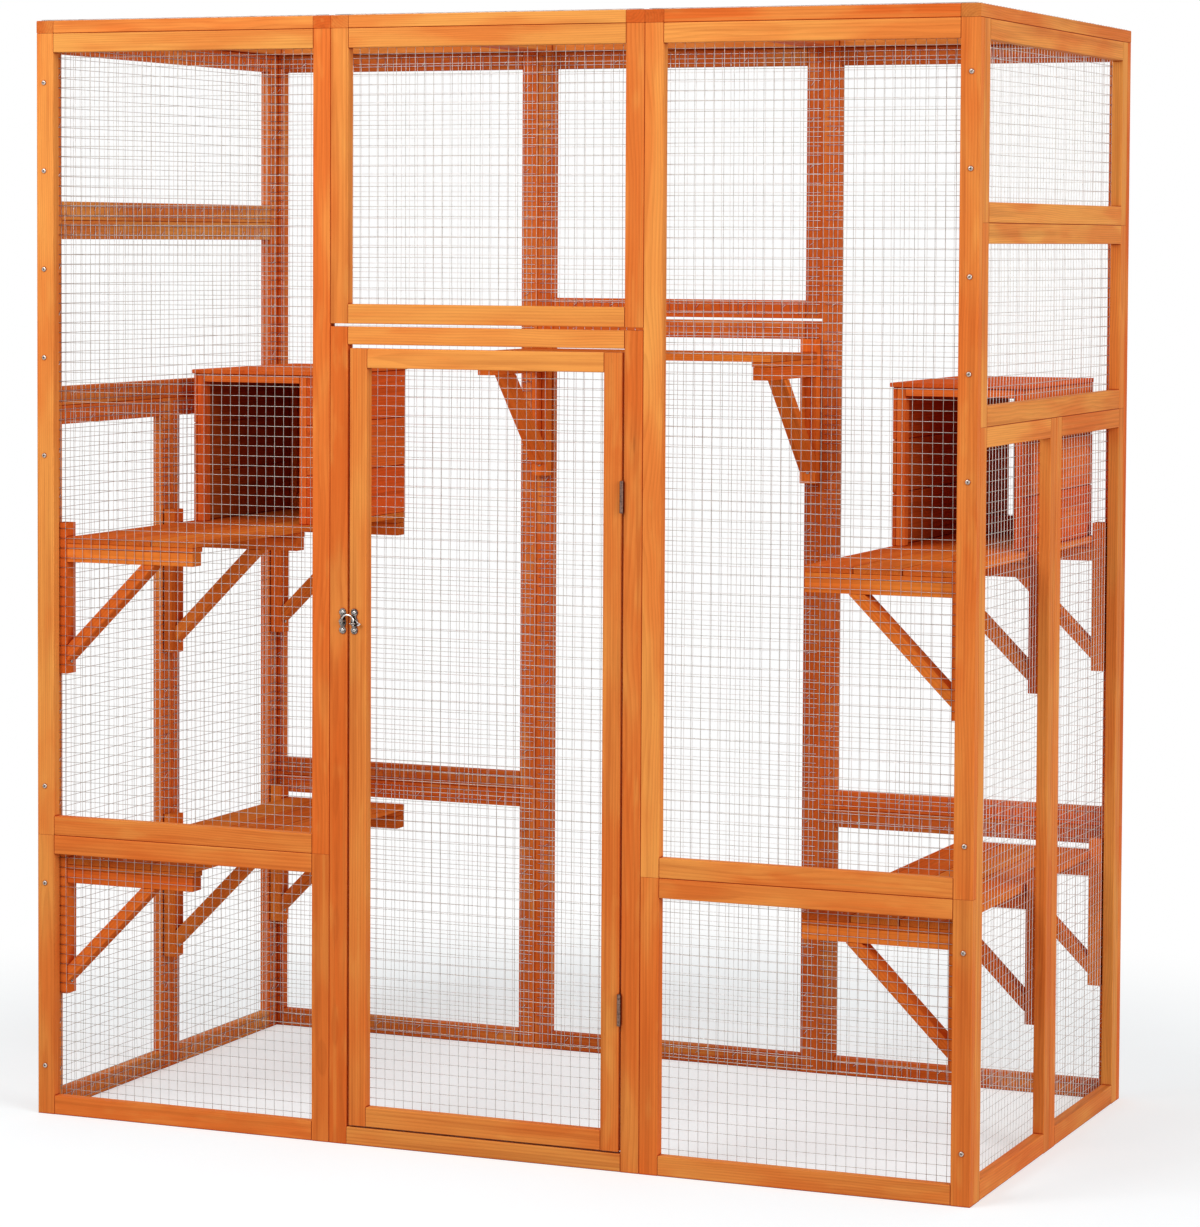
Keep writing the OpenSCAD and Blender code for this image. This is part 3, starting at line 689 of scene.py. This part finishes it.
def add_tongues(soup, rng, clouds):
    """The tongue in the joint of each two boards that lie edge to edge."""
    for low in clouds:
        for high in clouds:
            lo, hi = low.min(0), low.max(0)
            nlo, nhi = high.min(0), high.max(0)
            k, long = int(np.argmin(hi - lo)), int(np.argmax(hi - lo))
            wide = 3 - k - long
            start, stop = max(lo[long], nlo[long]), min(hi[long], nhi[long])
            level = abs(nlo[k] - lo[k]) < MM and stop - start > TONGUE_LEAST
            if not level or not 0 < nlo[wide] - hi[wide] < TONGUE_REACH:
                continue
            box = np.array((lo, hi))
            box[:, wide] = hi[wide] - TONGUE_REACH, nlo[wide] + TONGUE_REACH
            box[:, k] = [lo[k] + (hi[k] - lo[k]) * share for share in TONGUE_PLACE]
            box[:, long] = start + TONGUE_REACH, stop - TONGUE_REACH
            add_board(soup, rng, TONES["r"], box, TONGUE_EASE)


def dress_timber(node, material, ease, seed):
    rng = random.Random(seed)
    soup = Soup()
    stain_and_shade = STAIN_AND_SHADE.get(node)
    room = None
    if node.startswith("house_") and not node.endswith("_posts"):
        lo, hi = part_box(node.rsplit("_", 1)[0] + "_sides")
        room = (np.array((lo + hi) / 2), INDOOR_SHADE[node.split("_")[1]])
    for i, cloud in enumerate(solids(node)):
        if stain_and_shade:
            hue, low, high = TONES[stain_and_shade[i]]
            tone = (hue + rng.uniform(-STRAY, STRAY), low, high)
        else:
            # Some boards take a lighter range: painted light
            tone = (rng.random(), *PAINTED_LIGHT_RANGES.get(node, LIGHT))
        if is_box(cloud, ARM_CLIP if node in BRACKETS else BOX_SLACK):
            add_board(soup, rng, tone, cloud, ease, room)
        else:
            add_cut_bar(soup, rng, tone, cloud)
    if node.endswith(("_sides", "_back")) or node in DECKS:
        add_tongues(soup, rng, solids(node))
    piece = soup.make("timber_" + node, material)
    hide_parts(node)
    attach(piece, body_of(node))


# Welded mesh

class Tubes:
    """Many thin square-section wires gathered into one mesh."""

    def __init__(self):
        self.points, self.faces, self.level, self.count = [], [], [], 0

    def add(self, path, side, up, r, level=0.0):
        """A wire along path, its section's corners towards side and up. Its level is 1 if it lies level."""
        n = len(path)
        self.level += [level] * (4 * n)
        ring = np.array((side, up, -side, -up)) * r
        self.points.append((path[:, None, :] + ring[None]).reshape(-1, 3))
        base = self.count + 4 * np.arange(n - 1)[:, None]
        i = np.arange(4)
        j = (i + 1) % 4
        quads = np.stack((base + i, base + j, base + 4 + j, base + 4 + i), -1).reshape(-1, 4)
        first = self.count
        last = self.count + 4 * (n - 1)
        caps = np.array(((first + 3, first + 2, first + 1, first), (last, last + 1, last + 2, last + 3)))
        self.faces += [quads, caps]
        self.count += 4 * n

    def make(self, name, material):
        mesh = bpy.data.meshes.new(name)
        mesh.from_pydata(np.concatenate(self.points), [], np.concatenate(self.faces))
        mesh.polygons.foreach_set("use_smooth", [True] * len(mesh.polygons))
        mesh.attributes.new("level", "FLOAT", "POINT").data.foreach_set("value", self.level)
        mesh.materials.append(material)
        obj = bpy.data.objects.new(name, mesh)
        bpy.context.scene.collection.objects.link(obj)
        return obj


class Waves:
    """A smooth random field over a panel, the sum of a few sine waves."""

    def __init__(self, rng, longest, shortest):
        self.terms = []
        for _ in range(WAVE_COUNT):
            k = 2 * math.pi / rng.uniform(shortest, longest)
            angle = rng.uniform(0, math.pi)
            self.terms.append((k * math.cos(angle), k * math.sin(angle), rng.uniform(0, 2 * math.pi)))

    def at(self, u, v):
        return sum(np.sin(a * u + b * v + c) for a, b, c in self.terms) / len(self.terms) ** 0.5


def panel_layout(node, wires):
    """A framed panel: its two directions, its opening, the mesh's side of it and the mesh's reach."""
    clouds = solids(node)
    sizes = np.array([c.max(0) - c.min(0) for c in clouds])
    lo = np.min([c.min(0) for c in clouds], 0)
    hi = np.max([c.max(0) for c in clouds], 0)
    k = int(np.argmin(hi - lo))
    u, v = [i for i in range(3) if i != k]
    stile, rail = sizes[:, u].min(), sizes[:, v].min()
    own = [w for w in wires if all(lo[i] < w.mean(0)[i] < hi[i] for i in (u, v))]
    wire_lo = np.min([w.min(0) for w in own], 0)
    wire_hi = np.max([w.max(0) for w in own], 0)
    inward = 1.0 if wire_hi[k] > hi[k] + MM else -1.0
    plane = hi[k] if inward > 0 else lo[k]
    return {"k": k, "u": u, "v": v, "inward": inward, "plane": plane,
            "u0": lo[u] + stile, "u1": hi[u] - stile, "v0": lo[v] + rail, "v1": hi[v] - rail,
            "reach": (wire_lo[u], wire_hi[u], wire_lo[v], wire_hi[v])}


def add_mesh(tubes, rng, lay):
    """The wires of one panel: uprights on the timber, level wires welded on their inner side."""
    e = np.eye(3)
    eu, ev, ek = e[lay["u"]], e[lay["v"]], e[lay["k"]] * lay["inward"]
    sway_u, sway_v, bulge = Waves(rng, *WAVES), Waves(rng, *WAVES), Waves(rng, *WAVES)

    def inside(t, a, b):
        return np.clip((t - a) / HELD, 0, 1) * np.clip((b - t) / HELD, 0, 1)

    def place(u, v, rise):
        du = SWAY * sway_u.at(u, v)
        dv = SWAY * sway_v.at(u, v)
        window = inside(u, lay["u0"], lay["u1"]) * inside(v, lay["v0"], lay["v1"])
        out = BULGE * window * (0.5 + 0.3 * bulge.at(u, v))
        off = lay["inward"] * (lay["plane"] * lay["inward"] + rise - out)
        return (u + du)[:, None] * eu + (v + dv)[:, None] * ev + off[:, None] * e[lay["k"]]

    def run(lo, hi, across_lo, across_hi, upright):
        cells = int((across_hi - across_lo) / PITCH)
        start = (across_lo + across_hi - cells * PITCH) / 2
        for i in range(cells + 1):
            at = start + i * PITCH + rng.gauss(0, WIRE_ERROR)
            a, b = lo + rng.uniform(*WIRE_SHORT) * MM, hi - rng.uniform(*WIRE_SHORT) * MM
            t = np.linspace(a, b, max(2, round((b - a) / (2 * PITCH))) + 1)
            bend = WIRE_BEND * np.sin(t * rng.uniform(*BEND_RATE) + rng.uniform(0, 6.28))
            if upright:
                tubes.add(place(at + bend, t, UPRIGHT_RISE), eu, ek, WIRE / 2)
            else:
                tubes.add(place(t, at + bend, LEVEL_RISE), ek, ev, WIRE / 2, level=1.0)

    u0, u1, v0, v1 = lay["reach"]
    run(v0, v1, u0, u1, True)
    run(u0, u1, v0, v1, False)


def add_staples(tubes, rng, lay):
    """Staples over the mesh where it laps on the timber."""
    e = np.eye(3)
    eu, ev, ek = e[lay["u"]], e[lay["v"]], e[lay["k"]] * lay["inward"]
    face = lay["plane"] * e[lay["k"]]
    half, shoulder = STAPLE_HALF, STAPLE_HALF * 0.94

    def staple(u, v, along, aside):
        turn = math.radians(rng.uniform(*STAPLE_TURN))
        way = along * math.cos(turn) + aside * math.sin(turn)
        middle = face + u * eu + v * ev
        steps = ((-half, 0.0), (-shoulder, STAPLE_RISE), (shoulder, STAPLE_RISE), (half, 0.0))
        path = np.array([middle + way * x + ek * z for x, z in steps])
        across = np.cross(way, ek)
        tubes.add(path, across / np.linalg.norm(across), ek, STAPLE_WIRE / 2)

    def spots(a, b):
        n = max(2, round((b - a) / STAPLE_STEP))
        return [a + (b - a) * (i + 0.5) / n + rng.uniform(*STAPLE_ERROR) * MM for i in range(n)]

    for u in (lay["u0"] - STAPLE_IN, lay["u1"] + STAPLE_IN):
        for v in spots(lay["v0"], lay["v1"]):
            staple(u, v, ev, eu)
    for v in (lay["v0"] - STAPLE_IN, lay["v1"] + STAPLE_IN):
        for u in spots(lay["u0"], lay["u1"]):
            staple(u, v, eu, ev)


def dress_nets():
    for number, (net, frames) in enumerate(WALL_FRAMES.items()):
        rng = random.Random(NET_SEED + number)
        drawn = solids(net)
        wires, staples = Tubes(), Tubes()
        for node in frames:
            lay = panel_layout(node, drawn)
            add_mesh(wires, rng, lay)
            add_staples(staples, rng, lay)
        mesh = wires.make("mesh_" + net, NET_METALS.get(net, WIRE_FRONT))
        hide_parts(net)
        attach(mesh, body_of(net))
        crowns = staples.make("staples_" + net, STAPLE)
        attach(crowns, body_of(net))


# Screws and nails

def circle(bm, radius, z, sides):
    angles = [2 * math.pi * i / sides for i in range(sides)]
    return [bm.verts.new((radius * math.cos(angle), radius * math.sin(angle), z)) for angle in angles]


def skin(bm, low, high):
    """A band of faces between two rings of the same number of corners."""
    for i in range(len(low)):
        j = (i + 1) % len(low)
        bm.faces.new((low[i], low[j], high[j], high[i]))


def finished(bm, name):
    mesh = bpy.data.meshes.new(name)
    bm.to_mesh(mesh)
    bm.free()
    return mesh


def screw_head(radius, height, recess):
    """A pan head screw with a cross recess, its seat at z = 0."""
    bm = bmesh.new()
    arm, half, taper = radius * 0.52, radius * 0.13, 0.72
    profile = ((1.0, 0.0), (0.99, 0.35), (0.92, 0.68), (0.78, 0.9), (0.6, 1.0))
    rings = [circle(bm, radius * r, height * z, SCREW_SIDES) for r, z in profile]
    for low, high in zip(rings, rings[1:]):
        skin(bm, low, high)
    cross = [(half, half), (half, arm), (-half, arm), (-half, half), (-arm, half), (-arm, -half),
             (-half, -half), (-half, -arm), (half, -arm), (half, -half), (arm, -half), (arm, half)]
    rim = [bm.verts.new((x, y, height)) for x, y in cross]
    pit = [bm.verts.new((x * taper, y * taper, height - recess)) for x, y in cross]
    top = rings[-1]
    edges = [bm.edges.new((rim[i], rim[(i + 1) % len(rim)])) for i in range(len(rim))]
    edges += [bm.edges.get((top[i], top[(i + 1) % SCREW_SIDES])) for i in range(SCREW_SIDES)]
    bmesh.ops.triangle_fill(bm, edges=edges, use_beauty=True)
    skin(bm, rim, pit)
    bm.faces.new(pit)
    bmesh.ops.recalc_face_normals(bm, faces=bm.faces)
    return finished(bm, "screw_head")


def nail_head(radius, height):
    """A flat nail head with a rounded rim, its seat just under z = 0."""
    bm = bmesh.new()
    profile = ((1.0, -0.2 * MM), (1.0, height * 0.5), (0.75, height))
    rings = [circle(bm, radius * r, z, NAIL_SIDES) for r, z in profile]
    for low, high in zip(rings, rings[1:]):
        skin(bm, low, high)
    bm.faces.new(rings[-1])
    bm.faces.new(rings[0][::-1])
    return finished(bm, "nail_head")


def scatter(name, source, places, material, replaced, body):
    """Copies of one small mesh, each at a point and along a direction, joined into one piece."""
    bm = bmesh.new()
    rng = random.Random(len(places))
    for point, way in places:
        start = len(bm.verts)
        bm.from_mesh(source)
        bm.verts.ensure_lookup_table()
        spin = Matrix.Rotation(rng.uniform(0, math.pi), 4, "Z")
        turn = Vector((0, 0, 1)).rotation_difference(Vector(way)).to_matrix().to_4x4()
        move = Matrix.Translation(Vector(point)) @ turn @ spin
        bmesh.ops.transform(bm, matrix=move, verts=bm.verts[start:])
    mesh = finished(bm, name)
    mesh.polygons.foreach_set("use_smooth", [True] * len(mesh.polygons))
    mesh.set_sharp_from_angle(angle=SHARP)
    mesh.materials.append(material)
    piece = bpy.data.objects.new(name, mesh)
    bpy.context.scene.collection.objects.link(piece)
    if replaced:
        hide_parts(replaced)
    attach(piece, body)


def dress_wall_screws():
    places = []
    for cloud in solids("panel_screws"):
        lo, hi = cloud.min(0), cloud.max(0)
        seat, way = (hi[1], (0, -1, 0)) if lo[1] < 0 else (lo[1], (0, 1, 0))
        places.append((((lo[0] + hi[0]) / 2, seat, (lo[2] + hi[2]) / 2), way))
    scatter("screws_walls", screw_head(*WALL_SCREW), places, STEEL, "panel_screws", "enclosure")


def dress_cleat_screws():
    """Two screws in each upright cleat, on its side to the room."""
    places = []
    centre = (np.array(cad_box[0]) + np.array(cad_box[1])) / 2
    for node in BRACKETS:
        k = 1 if node == "brackets_back" else 0
        for cloud in solids(node):
            lo, hi = cloud.min(0), cloud.max(0)
            if is_box(cloud) and int(np.argmax(hi - lo)) == 2:
                inward = 1 if centre[k] > lo[k] else -1
                at = (lo + hi) / 2
                at[k] = hi[k] if inward > 0 else lo[k]
                way = [0, 0, 0]
                way[k] = inward
                places += [((at[0], at[1], z), way) for z in (lo[2] + CLEAT_FOOT, hi[2] - CLEAT_TOP)]
    scatter("screws_cleats", screw_head(*CLEAT_SCREW), places, STEEL, None, "enclosure")


def dress_latch_screws():
    """A screw in the lobe at each end of the latch's two plates."""
    head = screw_head(*PLATE_SCREW)
    lobe = (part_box("latch_plate")[1].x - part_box("latch_plate")[0].x) / 2
    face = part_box("door_leaf")[0].y - LATCH_PLATE
    for node in ("latch_plate", "latch_keeper"):
        lo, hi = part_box(node)
        places = [(((lo.x + hi.x) / 2, face, z), (0, -1, 0)) for z in (lo.z + lobe, hi.z - lobe)]
        scatter("screws_" + node, head, places, NICKEL, None, body_of(node))


def dress_nails():
    """Two nails wherever a thin board crosses what carries it."""
    head = nail_head(*NAIL)
    for node, support in NAILED:
        boards, carriers, places = solids(node), solids(support), []
        for board in boards:
            lo, hi = board.min(0), board.max(0)
            k, long = int(np.argmin(hi - lo)), int(np.argmax(hi - lo))
            wide = 3 - k - long
            for carrier in carriers:
                low, high = carrier.min(0), carrier.max(0)
                a, b = np.maximum(lo, low), np.minimum(hi, high)
                if min(b[long] - a[long], b[wide] - a[wide]) < CROSSING:
                    continue
                if high[long] - low[long] > ALONGSIDE * (hi[long] - lo[long]):
                    continue
                for face, gap, way in ((hi[k], lo[k] - high[k], 1), (lo[k], low[k] - hi[k], -1)):
                    if abs(gap) > MM:
                        continue
                    for share in NAIL_PLACES:
                        at = (a + b) / 2
                        at[wide] = a[wide] + (b[wide] - a[wide]) * share
                        at[k] = face - way * SEAM
                        direction = [0, 0, 0]
                        direction[k] = way
                        places.append((tuple(at), direction))
        if places:
            scatter("nails_" + node, head, places, STEEL, None, "enclosure")


def dress_fittings():
    for node, metal in FITTINGS.items():
        slots = frame["nodes"][node].data.materials
        slots.clear()
        slots.append(metal)


# Room

def floor_material():
    """Pale, with the object's shadow near it and white farther off. It lights the object evenly."""
    s = Shader("pale_floor")
    s.tree.nodes.remove(s.surface)
    place = s.node("ShaderNodeTexCoord").outputs["Object"]
    apart = s.node("ShaderNodeVectorMath", operation="LENGTH")
    s.put(apart.inputs[0], place)
    far = s.span(apart.outputs["Value"], *SHADOW)
    rays = s.node("ShaderNodeLightPath").outputs
    seen = s.math("MAXIMUM", rays["Is Camera Ray"],
                  s.math("MAXIMUM", rays["Is Glossy Ray"], rays["Is Transmission Ray"]))
    plain = s.node("ShaderNodeBsdfDiffuse")
    plain.inputs["Color"].default_value = (0.6, 0.6, 0.6, 1)
    lit = s.node("ShaderNodeBsdfDiffuse")
    lit.inputs["Color"].default_value = (0.59, 0.635, 0.655, 1)
    glow = s.node("ShaderNodeEmission")
    glow.inputs["Strength"].default_value = FLOOR_GLOW
    white = s.node("ShaderNodeEmission")
    near = s.node("ShaderNodeAddShader")
    s.put(near.inputs[0], lit.outputs[0])
    s.put(near.inputs[1], glow.outputs[0])
    shown = s.blend(far, near, white)
    s.put(s.tree.nodes["Material Output"].inputs["Surface"], s.blend(seen, plain, shown).outputs[0])
    return s.material


def make_floor():
    bm = bmesh.new()
    bmesh.ops.create_grid(bm, x_segments=8, y_segments=8, size=FLOOR_HALF)
    mesh = finished(bm, "floor")
    mesh.materials.append(floor_material())
    floor = bpy.data.objects.new("floor", mesh)
    bpy.context.scene.collection.objects.link(floor)
    floor.location.z = -FLOOR_DROP


def make_world():
    world = bpy.data.worlds.new("studio")
    bpy.context.scene.world = world
    world.use_nodes = True
    tree = world.node_tree
    backdrop = tree.nodes["Background"]
    rays = tree.nodes.new("ShaderNodeLightPath").outputs
    seen = rays["Is Camera Ray"]
    for other in ("Is Glossy Ray", "Is Transmission Ray"):
        either = tree.nodes.new("ShaderNodeMath")
        either.operation = "MAXIMUM"
        tree.links.new(seen, either.inputs[0])
        tree.links.new(rays[other], either.inputs[1])
        seen = either.outputs[0]
    strength = tree.nodes.new("ShaderNodeMapRange")
    strength.inputs["To Min"].default_value = SKY[0]
    strength.inputs["To Max"].default_value = SKY[1]
    tree.links.new(seen, strength.inputs["Value"])
    tree.links.new(strength.outputs[0], backdrop.inputs["Strength"])
    backdrop.inputs["Color"].default_value = (1, 1, 1, 1)


def add_lamp(name, place, target, size, power):
    data = bpy.data.lights.new(name, "AREA")
    data.shape = "SQUARE"
    data.size = size
    data.energy = power
    lamp = bpy.data.objects.new(name, data)
    bpy.context.scene.collection.objects.link(lamp)
    lamp.location = place
    lamp.rotation_euler = (Vector(target) - Vector(place)).to_track_quat("-Z", "Y").to_euler()


make_camera()
for number, node in enumerate(sorted(FRAMES)):
    dress_timber(node, TIMBER, FRAME_EASE, FRAME_SEED + number)
for number, node in enumerate(sorted(DECKS + BRACKETS)):
    dress_timber(node, PLATFORM, DECK_EASE, DECK_SEED + number)
for number, node in enumerate(sorted(HOUSES)):
    dress_timber(node, HOUSE, HOUSE_EASE, HOUSE_SEED + number)
dress_nets()
dress_wall_screws()
dress_cleat_screws()
dress_latch_screws()
dress_nails()
dress_fittings()
make_floor()
make_world()
for lamp in LAMPS:
    add_lamp(*lamp)

bpy.context.scene.view_settings.view_transform = "Standard"
